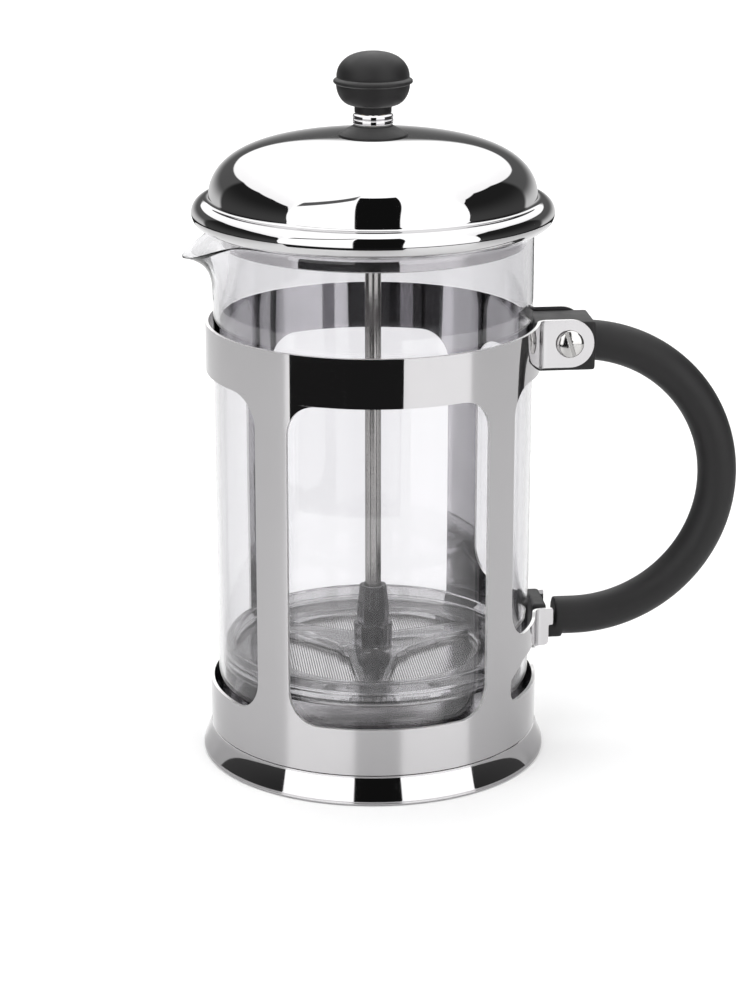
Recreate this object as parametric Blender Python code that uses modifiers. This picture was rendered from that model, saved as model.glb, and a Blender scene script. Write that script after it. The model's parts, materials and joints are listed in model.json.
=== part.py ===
"""French press, about one litre: chromed sheet-steel frame, glass beaker, domed lid, plunger.

Metres, +Z up. The handle is on +X and the pouring spout on -X. The origin is at the middle of the
object's footprint, on the surface it stands on, so the beaker's axis stands at X = AXIS_X.
Dimensions below are millimetres and are turned into metres where the shapes are made.
"""
import math

import bmesh
import bpy
from mathutils import Matrix, Vector

MM = 0.001

# ---- driving dimensions (mm) ----------------------------------------------------------------
AXIS_X = -28.37           # beaker axis from the origin

GLASS_R = 49.0            # beaker, outside
GLASS_T = 1.8             # beaker wall
GLASS_Z0 = 11.8           # underside of the beaker
GLASS_Z1 = 168.0          # rim
GLASS_CORNER = 7.0        # outside radius between wall and bottom
SPOUT_OUT = 9.7           # how far the lip stands out of the wall
SPOUT_DROP = 8.4          # how far the lip lies below the rim
SPOUT_HALF_ANGLE = 17.0   # degrees, where the lip's bulge has fallen to a third

SLEEVE_R = 51.0           # middle of the frame's sheet
SLEEVE_T = 1.0
SLEEVE_Z0 = 8.9
WINDOW_Z0 = 23.6
BAND_Z0 = 124.0
BAND_Z1 = 139.0
PILLAR_IN = 40.7          # degrees from the X axis to a pillar's edge by the side openings
PILLAR_OUT = 53.9         # degrees from the X axis to its edge by the front and back windows
WINDOW_CORNER = 10.0

EAR_Y = 9.1               # middle of the ear's sheet
EAR_BEND_R = 3.0
EAR_END_X = 67.2
EAR_HOLE_R = 2.4
TAB_TOP = 45.6
TAB_NOTCH = 40.2
TAB_BOTTOM = 33.5
TAB_X_TOP = 56.1
TAB_X_LOW = 54.7

FLARE_TOP_R = 51.6
FLARE_R = 54.1
FLARE_Z1 = 8.6
HEM_IN_R = 45.0

HANDLE_CX, HANDLE_CZ = 64.2, 85.2   # centre of the grip's bow
HANDLE_R = 45.2                      # radius of its centre line
GRIP_R = 6.35
BLOCK_X1 = 68.0
BLOCK_Z0, BLOCK_Z1 = 122.6, 138.0
BLOCK_HALF = 8.3

SCREW_X, SCREW_Z = 59.7, 131.5
SCREW_HEAD_R = 4.3
SCREW_R = 2.0

DOME_R = 49.9             # dome at its foot
DOME_FOOT_Z = 177.2
DOME_TOP_Z = 194.9
BEAD_R = 55.1             # lid bead, outside
BEAD_TUBE = 3.9
BEAD_Z = 172.6
LID_T = 0.8
SKIRT_R = 46.5
SKIRT_Z0 = 163.5

ROD_R = 2.5
ROD_Z0, ROD_Z1 = 21.5, 213.0
BORE_R = 2.8              # every guide and boss around the rod

COLLAR_Z = 195.2          # underside of the black collar on the dome
KNOB_NECK_Z = 202.2
KNOB_BEAD_Z = 211.8
KNOB_TOP_Z = 220.6
KNOB_BEAD_R = 11.95

FILTER_R = 46.7
FILTER_Z = 31.4           # underside of the spider
RIM_TOP_Z = 36.8
MESH_R = 33.5             # gauze seen inside the spider's ring
ARM_TURN = -96.3          # degrees from +X to the first of three arms

# ---- scene ----------------------------------------------------------------------------------
for old in list(bpy.data.objects):
    bpy.data.objects.remove(old, do_unlink=True)

parts = bpy.data.collections.new("french_press")
cutters = bpy.data.collections.new("french_press_cutters")
bpy.context.scene.collection.children.link(parts)
bpy.context.scene.collection.children.link(cutters)


def axis_empty(name, x, y, z, parent=None):
    e = bpy.data.objects.new(name, None)
    e.location = (x * MM, y * MM, z * MM)
    if parent:
        e.parent = parent
    parts.objects.link(e)
    return e


press = axis_empty("press_axis", AXIS_X, 0, 0)          # beaker, lid and plunger all turn and slide on this line
clamp = axis_empty("clamp_axis", SCREW_X, 0, SCREW_Z, press)


def material(name, rgb, rough, metal=0.0, transmission=0.0):
    m = bpy.data.materials.new(name)
    m.use_nodes = True
    b = m.node_tree.nodes["Principled BSDF"]
    b.inputs["Base Color"].default_value = (*rgb, 1.0)
    b.inputs["Roughness"].default_value = rough
    b.inputs["Metallic"].default_value = metal
    b.inputs["Transmission Weight"].default_value = transmission
    m.diffuse_color = (*rgb, 1.0)
    return m


CHROME = (0.72, 0.71, 0.72)
STEEL = (0.56, 0.55, 0.54)
BLACK = (0.035, 0.033, 0.034)
SMOKE = (0.20, 0.20, 0.20)


def finish(obj, mat, parent=press, smooth=True):
    """Names the material, parents the object and shades round faces smooth."""
    me = obj.data
    me.materials.clear()
    me.materials.append(mat)
    if smooth:
        me.shade_smooth()
        me.set_sharp_from_angle(angle=math.radians(35))
    obj.parent = parent
    return obj


def mesh_object(name, me, collection=None):
    o = bpy.data.objects.new(name, me)
    (collection or parts).objects.link(o)
    return o


def applied(obj, name=None):
    """A plain mesh object made from an object's evaluated shape; the source is removed."""
    dg = bpy.context.evaluated_depsgraph_get()
    dg.update()
    me = bpy.data.meshes.new_from_object(obj.evaluated_get(dg), depsgraph=dg)
    bm = bmesh.new()
    bm.from_mesh(me)
    bmesh.ops.remove_doubles(bm, verts=bm.verts, dist=1e-6)
    bm.to_mesh(me)
    bm.free()
    mw = obj.matrix_world.copy()
    name = name or obj.name
    col = obj.users_collection[0]
    bpy.data.objects.remove(obj, do_unlink=True)
    new = mesh_object(name, me, col)
    new.matrix_world = mw
    return new


def turned(name, profile, steps, closed=True):
    """A turned piece. The profile is (radius, height) in mm, down the outer side and, for a ring,
    back up the inner side; one that starts and ends on the axis makes a solid piece."""
    me = bpy.data.meshes.new(name)
    n = len(profile)
    edges = [(i, i + 1) for i in range(n - 1)]
    if closed:
        edges.append((n - 1, 0))
    me.from_pydata([(r * MM, 0.0, z * MM) for r, z in profile], edges, [])
    o = mesh_object(name, me)
    s = o.modifiers.new("turn", "SCREW")
    s.axis = "Z"
    s.angle = 2 * math.pi
    s.steps = steps
    s.render_steps = steps
    s.use_merge_vertices = True
    s.merge_threshold = 0.00001
    s.use_smooth_shade = True
    return applied(o)


def arc(cx, cz, r, a0, a1, n):
    """Points on an arc, in degrees, both ends included."""
    return [(cx + r * math.cos(math.radians(a0 + (a1 - a0) * i / n)),
             cz + r * math.sin(math.radians(a0 + (a1 - a0) * i / n))) for i in range(n + 1)]


def rounded(corners, seg=4):
    """A closed outline from (x, z, radius) corners, each corner turned into an arc."""
    out = []
    n = len(corners)
    for i in range(n):
        x, z, r = corners[i]
        p = Vector((x, z))
        a = Vector(corners[i - 1][:2])
        b = Vector(corners[(i + 1) % n][:2])
        if r <= 0:
            out.append((x, z))
            continue
        u, v = (a - p).normalized(), (b - p).normalized()
        half = math.acos(max(-1.0, min(1.0, u.dot(v)))) / 2
        d = r / math.tan(half)
        c = p + (u + v).normalized() * (r / math.sin(half))
        p0, p1 = p + u * d, p + v * d
        a0 = math.atan2(p0.y - c.y, p0.x - c.x)
        a1 = math.atan2(p1.y - c.y, p1.x - c.x)
        while a1 - a0 > math.pi:
            a1 -= 2 * math.pi
        while a1 - a0 < -math.pi:
            a1 += 2 * math.pi
        for k in range(seg + 1):
            t = a0 + (a1 - a0) * k / seg
            out.append((c.x + r * math.cos(t), c.y + r * math.sin(t)))
    return out


def outline_curve(name, loops, half_thickness, collection=None):
    """A flat outline: one outer loop and any holes, in mm, filled and given its thickness."""
    cu = bpy.data.curves.new(name, "CURVE")
    cu.dimensions = "2D"
    cu.fill_mode = "BOTH"
    cu.extrude = half_thickness * MM
    for loop in loops:
        sp = cu.splines.new("POLY")
        sp.points.add(len(loop) - 1)
        for p, (x, y) in zip(sp.points, loop):
            p.co = (x * MM, y * MM, 0.0, 1.0)
        sp.use_cyclic_u = True
    o = bpy.data.objects.new(name, cu)
    (collection or parts).objects.link(o)
    return o


def circle(cx, cy, r, n, phase=0.0):
    return [(cx + r * math.cos(phase + 2 * math.pi * i / n), cy + r * math.sin(phase + 2 * math.pi * i / n))
            for i in range(n)]


def cylinder_cutter(name, r, depth, at, axis="Z", n=32, r2=None):
    me = bpy.data.meshes.new(name)
    bm = bmesh.new()
    bmesh.ops.create_cone(bm, cap_ends=True, segments=n, radius1=r * MM, radius2=(r if r2 is None else r2) * MM,
                          depth=depth * MM)
    rot = {"Z": Matrix(), "Y": Matrix.Rotation(math.pi / 2, 4, "X"), "X": Matrix.Rotation(math.pi / 2, 4, "Y")}[axis]
    bmesh.ops.transform(bm, matrix=Matrix.Translation(Vector(at) * MM) @ rot, verts=bm.verts)
    bm.to_mesh(me)
    bm.free()
    o = mesh_object(name, me, cutters)
    o.hide_render = True
    o.display_type = "WIRE"
    return o


def box_mesh(name, lo, hi, bevel=0.0, segments=2, collection=None):
    me = bpy.data.meshes.new(name)
    bm = bmesh.new()
    bmesh.ops.create_cube(bm, size=1.0)
    size = [(b - a) * MM for a, b in zip(lo, hi)]
    mid = [(a + b) / 2 * MM for a, b in zip(lo, hi)]
    bmesh.ops.scale(bm, vec=size, verts=bm.verts)
    bmesh.ops.translate(bm, vec=mid, verts=bm.verts)
    bm.to_mesh(me)
    bm.free()
    o = mesh_object(name, me, collection)
    if bevel:
        b = o.modifiers.new("edges", "BEVEL")
        b.width = bevel * MM
        b.segments = segments
        o = applied(o)
    return o


def boolean(obj, other, operation):
    """Cuts or joins; the other object goes to the cutters."""
    for c in list(other.users_collection):
        c.objects.unlink(other)
    cutters.objects.link(other)
    other.hide_render = True
    other.display_type = "WIRE"
    m = obj.modifiers.new(operation.lower(), "BOOLEAN")
    m.operation = operation
    m.object = other
    m.solver = "EXACT"
    out = applied(obj)
    return out


def ease(t):
    t = max(0.0, min(1.0, t))
    return t * t * (3 - 2 * t)


# ---- frame: one chromed sheet, blanked flat, rolled round the beaker, its ends bent out -------
BEND_CY = EAR_Y + EAR_BEND_R
BEND_CX = math.sqrt((SLEEVE_R + EAR_BEND_R) ** 2 - BEND_CY ** 2)
BEND_A = math.atan2(BEND_CY, BEND_CX)                 # where the sheet leaves the cylinder
S_BEND = SLEEVE_R * (math.pi - BEND_A)
S_FLAT = S_BEND + EAR_BEND_R * (math.pi / 2 - BEND_A)
S_EAR = S_FLAT + EAR_END_X - BEND_CX
S_RING = SLEEVE_R * math.pi


def along(x):
    """Distance along the blank of a point of the flat ear at radius x."""
    return S_FLAT + x - BEND_CX


def roll(s, z):
    """Blank coordinates (mm) to the rolled sheet's middle surface; s = 0 is under the spout."""
    side = -1.0 if s >= 0 else 1.0
    t = abs(s)
    if t <= S_BEND or z < 29.0:
        a = math.pi - t / SLEEVE_R
        return SLEEVE_R * math.cos(a), side * SLEEVE_R * math.sin(a), z
    if t <= S_FLAT:
        a = math.pi + BEND_A + (t - S_BEND) / EAR_BEND_R     # round the bend's centre, outside the cylinder
        return BEND_CX + EAR_BEND_R * math.cos(a), side * (BEND_CY + EAR_BEND_R * math.sin(a)), z
    return BEND_CX + (t - S_FLAT), side * EAR_Y, z


def deg_s(d):
    """Distance along the blank from the spout line to an angle in degrees from it."""
    return SLEEVE_R * math.radians(d)


def blank_loops(seg):
    ear_mid = (BAND_Z0 + BAND_Z1) / 2
    ear_r = (BAND_Z1 - BAND_Z0) / 2
    s_pillar = deg_s(180 - PILLAR_IN)
    half = [(S_EAR, BAND_Z1, ear_r - 0.02), (S_EAR, BAND_Z0, ear_r - 0.02),
            (s_pillar, BAND_Z0, 9.0),
            (s_pillar, 43.8, 10.0),
            (S_BEND - 1.5, 43.8, 1.5), (S_BEND, TAB_TOP, 1.2),
            (along(TAB_X_TOP), TAB_TOP, 0.6), (along(TAB_X_TOP), TAB_NOTCH, 0.5),
            (along(TAB_X_LOW), TAB_NOTCH, 0.5), (along(TAB_X_LOW), TAB_BOTTOM, 1.6),
            (S_BEND - 0.5, TAB_BOTTOM, 1.5),
            (S_BEND - 6.0, 37.0, 3.0),
            (s_pillar + 8.0, 35.4, 6.0), (s_pillar, 31.0, 2.5), (s_pillar, WINDOW_Z0, 4.0),
            (S_RING, WINDOW_Z0, 0.0), (S_RING, SLEEVE_Z0, 0.0)]
    right = rounded(half + [(-100.0, SLEEVE_Z0, 0.0), (-100.0, BAND_Z1, 0.0)], seg)[:-2]
    # the left half mirrors the right one
    left = [(-s, z) for s, z in reversed(right)]
    outer = right + left
    w_side = rounded([(-deg_s(PILLAR_IN), WINDOW_Z0, WINDOW_CORNER), (deg_s(PILLAR_IN), WINDOW_Z0, WINDOW_CORNER),
                      (deg_s(PILLAR_IN), BAND_Z0, WINDOW_CORNER), (-deg_s(PILLAR_IN), BAND_Z0, WINDOW_CORNER)], seg)
    a, b = deg_s(PILLAR_OUT), deg_s(180 - PILLAR_OUT)
    w_front = rounded([(a, WINDOW_Z0, WINDOW_CORNER), (b, WINDOW_Z0, WINDOW_CORNER),
                       (b, BAND_Z0, WINDOW_CORNER), (a, BAND_Z0, WINDOW_CORNER)], seg)
    w_back = [(-s, z) for s, z in reversed(w_front)]
    hole = circle(along(SCREW_X), SCREW_Z, EAR_HOLE_R, 12)
    hole2 = [(-s, z) for s, z in reversed(hole)]
    return [outer, w_side, w_front, w_back, hole, hole2]


def rolled_sheet(name, seg=4, step_deg=7.5):
    flat = outline_curve(name + "_blank", blank_loops(seg), 0.0)
    flat = applied(flat, name)
    bm = bmesh.new()
    bm.from_mesh(flat.data)
    cuts = []
    d = 0.0
    while d < 180.0 - 0.5 * step_deg:
        cuts.append(deg_s(d))
        d += step_deg
    cuts += [S_BEND, along(TAB_X_LOW) - 2.5]
    cuts += [S_BEND + (S_FLAT - S_BEND) * k / 5 for k in range(1, 6)]
    cuts = sorted({round(c, 5) for c in cuts} | {round(-c, 5) for c in cuts})
    for c in cuts:
        bmesh.ops.bisect_plane(bm, geom=bm.verts[:] + bm.edges[:] + bm.faces[:], dist=1e-7,
                               plane_co=(c * MM, 0, 0), plane_no=(1, 0, 0))
    # keep only the cuts inside the sheet
    on = set(cuts)

    def is_cut(e):
        a, b = e.verts[0].co.x / MM, e.verts[1].co.x / MM
        return abs(a - b) < 1e-3 and min(abs(a - c) for c in on) < 2e-3
    inner = [e for e in bm.edges if len(e.link_faces) == 2 and not is_cut(e)]
    bmesh.ops.dissolve_edges(bm, edges=inner, use_verts=False)
    for v in bm.verts:
        x, y, z = roll(v.co.x / MM, v.co.y / MM)
        v.co = (x * MM, y * MM, z * MM)
    bmesh.ops.remove_doubles(bm, verts=bm.verts, dist=1e-6)
    bmesh.ops.recalc_face_normals(bm, faces=bm.faces)
    out = [f for f in bm.faces if f.calc_center_median().length > 0]
    # the sheet's outer side faces away from the axis
    f = max(out, key=lambda g: g.calc_area())
    c = f.calc_center_median()
    if f.normal.x * c.x + f.normal.y * c.y < 0:
        bmesh.ops.reverse_faces(bm, faces=bm.faces)
    bm.to_mesh(flat.data)
    bm.free()
    s = flat.modifiers.new("sheet", "SOLIDIFY")
    s.thickness = SLEEVE_T * MM
    s.offset = 0.0
    s.use_even_offset = True
    return applied(flat)


finish(rolled_sheet("frame_cage"), material("frame_cage", CHROME, 0.07, 1.0))

# flared foot, its hem turned in to make the flat ring the press stands on
flare = [(FLARE_TOP_R, FLARE_Z1)]
for i in range(1, 7):
    t = i / 6
    flare.append((FLARE_TOP_R + (FLARE_R - FLARE_TOP_R) * t ** 1.2, FLARE_Z1 - (FLARE_Z1 - 1.1) * t))
flare += [(FLARE_R - 0.1, 0.5), (FLARE_R - 0.7, 0.0), (HEM_IN_R, 0.0), (HEM_IN_R, 0.9), (FLARE_R - 1.6, 1.1)]
for i in range(4, -1, -1):
    t = i / 5
    flare.append((FLARE_TOP_R - 0.9 + (FLARE_R - FLARE_TOP_R) * t ** 1.2, FLARE_Z1 - (FLARE_Z1 - 1.4) * t))
finish(turned("base_flare", flare, 48), material("base_flare", CHROME, 0.07, 1.0))

# floor of the frame, a pressed dish with a turned-up edge that the beaker stands in
finish(turned("base_plate", [(0, 10.6), (44.0, 10.6), (45.5, 11.2), (50.1, 11.2), (50.1, 9.9), (46.0, 9.9), (44.4, 9.4),
                             (0, 9.4)], 40, closed=False),
       material("base_plate", STEEL, 0.3, 1.0))


# ---- beaker -----------------------------------------------------------------------------------
def beaker_surface(name, around=64):
    """The beaker's outer surface, from the middle of its bottom to the rim, with the pouring lip."""
    rows = [(r, GLASS_Z0) for r in (14.0, 30.0)]
    rows += [(GLASS_R - GLASS_CORNER + x, GLASS_Z0 + GLASS_CORNER + z)
             for x, z in [(GLASS_CORNER * math.cos(math.radians(a)), GLASS_CORNER * math.sin(math.radians(a)))
                          for a in (-90, -65, -40, -18, 0)]]
    rows += [(GLASS_R, z) for z in (60.0, 110.0, 142.0, 148.0, 153.0, 157.0, 160.5, 163.5, 166.0, GLASS_Z1)]
    me = bpy.data.meshes.new(name)
    bm = bmesh.new()
    centre = bm.verts.new((0, 0, GLASS_Z0 * MM))
    rings = []
    for r, z in rows:
        ring = []
        for i in range(around):
            a = 2 * math.pi * i / around
            off = math.degrees(abs(math.atan2(math.sin(a - math.pi), math.cos(a - math.pi))))
            bulge = math.exp(-(off / SPOUT_HALF_ANGLE) ** 2)
            t = max(0.0, (z - 144.0) / (GLASS_Z1 - 144.0))
            rr = r + SPOUT_OUT * bulge * t ** 3.0
            zz = z - SPOUT_DROP * math.exp(-(off / 20.0) ** 2) * t ** 2.4
            ring.append(bm.verts.new((rr * math.cos(a) * MM, rr * math.sin(a) * MM, zz * MM)))
        rings.append(ring)
    for i in range(around):
        j = (i + 1) % around
        bm.faces.new((centre, rings[0][j], rings[0][i]))
        for k in range(len(rings) - 1):
            bm.faces.new((rings[k][i], rings[k][j], rings[k + 1][j], rings[k + 1][i]))
    bmesh.ops.recalc_face_normals(bm, faces=bm.faces)
    f = max(bm.faces, key=lambda g: g.calc_center_median().x)
    if f.normal.x < 0:
        bmesh.ops.reverse_faces(bm, faces=bm.faces)
    bm.to_mesh(me)
    bm.free()
    o = mesh_object(name, me)
    s = o.modifiers.new("wall", "SOLIDIFY")
    s.thickness = GLASS_T * MM
    s.offset = -1.0
    s.use_even_offset = True
    return applied(o)


finish(beaker_surface("glass_beaker"), material("glass_beaker", (0.93, 0.93, 0.95), 0.02, 0.0, 1.0))


# ---- handle: head block, bow and lower hook moulded as one piece -------------------------------
def handle():
    cu = bpy.data.curves.new("handle_bow", "CURVE")
    cu.dimensions = "3D"
    cu.bevel_depth = GRIP_R * MM
    cu.bevel_resolution = 3
    cu.use_fill_caps = True
    path = [(64.2, HANDLE_CZ + HANDLE_R)] + arc(HANDLE_CX, HANDLE_CZ, HANDLE_R, 84, -90, 29)
    path += [(61.0, HANDLE_CZ - HANDLE_R), (57.6, HANDLE_CZ - HANDLE_R)]
    sp = cu.splines.new("POLY")
    sp.points.add(len(path) - 1)
    for p, (x, z) in zip(sp.points, path):
        p.co = (x * MM, 0.0, z * MM, 1.0)
    bow = bpy.data.objects.new("handle_grip", cu)
    parts.objects.link(bow)
    bow = applied(bow)
    head = box_mesh("handle_head", (46.0, -BLOCK_HALF, BLOCK_Z0), (BLOCK_X1, BLOCK_HALF, BLOCK_Z1), 0.9, 2)
    bow = boolean(bow, head, "UNION")
    neck = box_mesh("handle_neck", (53.0, -5.2, 34.2), (59.5, 5.2, 39.6), 0.6, 1)
    bow = boolean(bow, neck, "UNION")
    hook = box_mesh("handle_hook", (49.7, -8.25, 33.6), (54.2, 8.25, 46.6), 0.7, 1)
    bow = boolean(bow, hook, "UNION")
    # the head's inner end follows the beaker, and the clamp screw passes through it
    bow = boolean(bow, cylinder_cutter("handle_cut_glass", GLASS_R + 0.45, 40.0, (0, 0, 130.0), "Z", 96), "DIFFERENCE")
    bow = boolean(bow, cylinder_cutter("handle_cut_hook", GLASS_R + 1.0, 40.0, (0, 0, 40.0), "Z", 96), "DIFFERENCE")
    bow = boolean(bow, cylinder_cutter("handle_cut_screw", 2.35, 40.0, (SCREW_X, 0, SCREW_Z), "Y", 16), "DIFFERENCE")
    return bow


finish(handle(), material("handle_grip", BLACK, 0.55))


# ---- clamp: slotted screw, washer and nut, on an axis along Y ----------------------------------
def along_y(obj):
    """Turns a piece made on +Z so that its top points to -Y, about the clamp axis."""
    obj.data.transform(Matrix.Rotation(math.pi / 2, 4, "X"))
    return obj


head_low = EAR_Y + SLEEVE_T / 2 + 0.3
screw = [(0, head_low + 1.7)] + [(SCREW_HEAD_R * math.sin(math.radians(a)), head_low + 0.6 + 1.1 * math.cos(math.radians(a)))
                                for a in (20, 40, 60, 78, 90)]
screw += [(SCREW_HEAD_R, head_low), (SCREW_R, head_low), (SCREW_R, -14.3), (0, -14.3)]
screw = turned("clamp_screw", screw, 32, closed=False)
slot = box_mesh("screw_slot", (-0.57, -6.0, head_low + 0.9), (0.57, 6.0, head_low + 3.0))
screw = boolean(screw, slot, "DIFFERENCE")
screw.data.transform(Matrix.Rotation(math.radians(19), 4, "Z"))
finish(along_y(screw), material("clamp_screw", STEEL, 0.25, 1.0), clamp)

wash = turned("clamp_washer", [(4.6, -9.9), (4.6, -10.6), (2.3, -10.6), (2.3, -9.9)], 24)
finish(along_y(wash), material("clamp_washer", STEEL, 0.3, 1.0), clamp)

nut = applied(outline_curve("clamp_nut", [circle(0, 0, 4.3, 6), circle(0, 0, 2.3, 16)], 1.5))
nut.data.transform(Matrix.Translation((0, 0, -12.45 * MM)))
finish(along_y(nut), material("clamp_nut", STEEL, 0.25, 1.0), clamp, smooth=False)


# ---- lid --------------------------------------------------------------------------------------
def dome_profile(n=10):
    """Outer side of the dome and its rolled bead, top to bottom."""
    pts = []
    h = DOME_TOP_Z - DOME_FOOT_Z
    for i in range(n + 1):
        # even steps in angle of a superellipse R = DOME_R * cos^p, z = h * sin^q
        u = math.pi / 2 * (1 - i / n)
        r = DOME_R * max(0.0, 1 - math.sin(u) ** 2.1) ** (1 / 3.6)
        z = DOME_FOOT_Z + h * math.sin(u)
        if r < 6.0:
            continue
        pts.append((r, z))
    pts = [(4.1, DOME_TOP_Z)] + pts
    cx = BEAD_R - BEAD_TUBE
    pts += arc(cx, BEAD_Z, BEAD_TUBE, 88, -125, 8)
    return pts


def lid_dome(steps=48):
    me = bpy.data.meshes.new("lid_dome")
    prof = dome_profile()
    me.from_pydata([(r * MM, 0.0, z * MM) for r, z in prof], [(i, i + 1) for i in range(len(prof) - 1)], [])
    o = mesh_object("lid_dome", me)
    s = o.modifiers.new("turn", "SCREW")
    s.axis = "Z"
    s.steps = steps
    s.render_steps = steps
    s.use_merge_vertices = True
    s.merge_threshold = 0.00001
    w = o.modifiers.new("sheet", "SOLIDIFY")
    w.thickness = LID_T * MM
    w.offset = -1.0
    w.use_even_offset = True
    return applied(o)


finish(lid_dome(), material("lid_dome", CHROME, 0.06, 1.0))

# inner cup: skirt that centres the lid in the beaker, with the plate that carries the guide
cup = [(48.5, 170.4), (48.5, 169.6), (SKIRT_R, 169.2), (SKIRT_R, SKIRT_Z0), (SKIRT_R - 0.8, SKIRT_Z0),
       (SKIRT_R - 0.9, 165.0), (SKIRT_R - 3.0, 165.6), (4.1, 165.6), (4.1, 166.4), (SKIRT_R - 3.0, 166.4),
       (SKIRT_R - 0.9, 167.0), (SKIRT_R - 0.8, 169.8), (46.4, 170.4)]
finish(turned("lid_cup", cup, 48), material("lid_cup", CHROME, 0.12, 1.0))

collar = [(5.7, COLLAR_Z + 3.6), (6.0, COLLAR_Z + 2.9), (7.2, COLLAR_Z + 2.2), (8.9, COLLAR_Z + 1.5), (10.2, COLLAR_Z + 0.9),
          (10.6, COLLAR_Z + 0.5), (10.4, COLLAR_Z + 0.1), (10.0, COLLAR_Z), (4.1, COLLAR_Z + 0.05), (4.1, COLLAR_Z + 3.6)]
finish(turned("lid_collar", collar, 32), material("lid_collar", BLACK, 0.55))

FER_Z = COLLAR_Z + 3.9
ferrule = [(5.9, FER_Z + 2.8), (6.15, FER_Z + 2.3), (6.15, FER_Z + 1.7), (5.85, FER_Z + 1.4), (6.15, FER_Z + 1.1), (6.15, FER_Z + 0.4),
           (5.9, FER_Z), (4.1, FER_Z), (4.1, FER_Z + 2.8)]
finish(turned("lid_ferrule", ferrule, 32), material("lid_ferrule", CHROME, 0.1, 1.0))

bush = [(3.7, FER_Z + 2.4), (3.7, 167.7), (6.4, 167.7), (6.4, 166.75), (3.7, 166.75), (3.7, 161.6), (BORE_R, 161.6),
        (BORE_R, FER_Z + 2.4)]
finish(turned("lid_bush", bush, 24), material("lid_bush", (0.75, 0.56, 0.26), 0.3, 1.0))

lidnut = applied(outline_curve("lid_nut", [circle(0, 0, 7.0, 6), circle(0, 0, 4.05, 20)], 1.4))
lidnut.data.transform(Matrix.Translation((0, 0, 163.9 * MM)))
finish(lidnut, material("lid_nut", (0.75, 0.56, 0.26), 0.3, 1.0), smooth=False)

# ---- plunger: rod and two-part knob -----------------------------------------------------------
finish(turned("plunger_rod", [(0, ROD_Z1), (ROD_R - 0.3, ROD_Z1), (ROD_R, ROD_Z1 - 0.3), (ROD_R, ROD_Z0 + 0.4),
                              (ROD_R - 0.4, ROD_Z0), (0, ROD_Z0)], 20, closed=False),
       material("plunger_rod", STEEL, 0.22, 1.0))

# lower half of the knob: neck, bowl and the bead round its waist; a socket holds the brass insert
K = KNOB_BEAD_Z
low = [(KNOB_BEAD_R - 0.45, K + 0.75), (KNOB_BEAD_R, K + 0.3), (KNOB_BEAD_R, K - 0.5), (KNOB_BEAD_R - 0.45, K - 0.95), (11.15, K - 1.2)]
for i in range(1, 6):
    t = i / 5
    low.append((5.75 + (11.15 - 5.75) * math.cos(t * math.pi / 2) ** 0.85, K - 1.2 - 6.0 * math.sin(t * math.pi / 2) ** 1.15))
low += [(5.6, K - 7.6), (5.6, KNOB_NECK_Z + 0.3), (5.3, KNOB_NECK_Z), (BORE_R, KNOB_NECK_Z), (BORE_R, KNOB_NECK_Z + 2.0),
        (4.6, KNOB_NECK_Z + 2.0), (4.6, K + 0.75)]
finish(turned("knob_base", low, 28), material("knob_base", BLACK, 0.55))

cap = [(0, KNOB_TOP_Z)]
for i in range(1, 8):
    t = i / 7
    cap.append((11.05 * math.sin(t * math.pi / 2) ** 0.82, K + 1.05 + (KNOB_TOP_Z - K - 1.05) * math.cos(t * math.pi / 2) ** 0.95))
cap += [(10.6, K + 1.05), (4.6, K + 1.05), (4.6, K + 2.9), (0, K + 2.9)]
finish(turned("knob_cap", cap, 32, closed=False), material("knob_cap", BLACK, 0.55))

insert = [(4.3, K + 0.6), (4.3, KNOB_NECK_Z + 2.3), (BORE_R, KNOB_NECK_Z + 2.3), (BORE_R, K + 0.6)]
finish(turned("knob_insert", insert, 20), material("knob_insert", (0.75, 0.56, 0.26), 0.35, 1.0))

# ---- filter stack -----------------------------------------------------------------------------
collet = [(4.25, 52.8), (4.9, 47.0), (5.1, 46.2), (5.1, 41.0), (BORE_R, 41.0), (BORE_R, 52.8)]
finish(turned("filter_collet", collet, 24), material("filter_collet", SMOKE, 0.25))

hubcollar = [(5.9, 40.6), (6.15, 40.3), (6.15, 33.3), (BORE_R, 33.3), (BORE_R, 40.6)]
finish(turned("filter_collar", hubcollar, 24), material("filter_collar", SMOKE, 0.25))


def sector(r0, r1, w0, w1, turn, n=8):
    """One of the three openings of the spider: its arms are w0 wide (half) at the hub and w1 at the ring."""
    third = 2 * math.pi / 3
    pts = []
    a_in0, a_in1 = math.asin(w0 / r0), third - math.asin(w0 / r0)
    a_out0, a_out1 = math.asin(w1 / r1), third - math.asin(w1 / r1)
    pts += [(r0 * math.cos(a_in0 + (a_in1 - a_in0) * i / 3), r0 * math.sin(a_in0 + (a_in1 - a_in0) * i / 3)) for i in range(4)]
    pts += [(r1 * math.cos(a_out1 + (a_out0 - a_out1) * i / n), r1 * math.sin(a_out1 + (a_out0 - a_out1) * i / n)) for i in range(n + 1)]
    c, s = math.cos(turn), math.sin(turn)
    return [(x * c - y * s, x * s + y * c) for x, y in pts]


spider = outline_curve("filter_spider", [circle(0, 0, FILTER_R, 48), circle(0, 0, BORE_R, 16)] +
                       [sector(11.5, MESH_R, 7.6, 4.0, math.radians(ARM_TURN + 120 * k), 10) for k in range(3)], 0.75)
spider = applied(spider)
spider.data.transform(Matrix.Translation((0, 0, (FILTER_Z + 0.75) * MM)))
finish(spider, material("filter_spider", SMOKE, 0.25))

rim = [(FILTER_R, RIM_TOP_Z - 0.4), (FILTER_R, FILTER_Z + 1.85), (FILTER_R - 3.4, FILTER_Z + 1.85), (FILTER_R - 2.4, RIM_TOP_Z - 0.2),
       (FILTER_R - 2.0, RIM_TOP_Z), (FILTER_R - 0.4, RIM_TOP_Z)]
finish(turned("filter_rim", rim, 48), material("filter_rim", SMOKE, 0.25))

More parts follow.
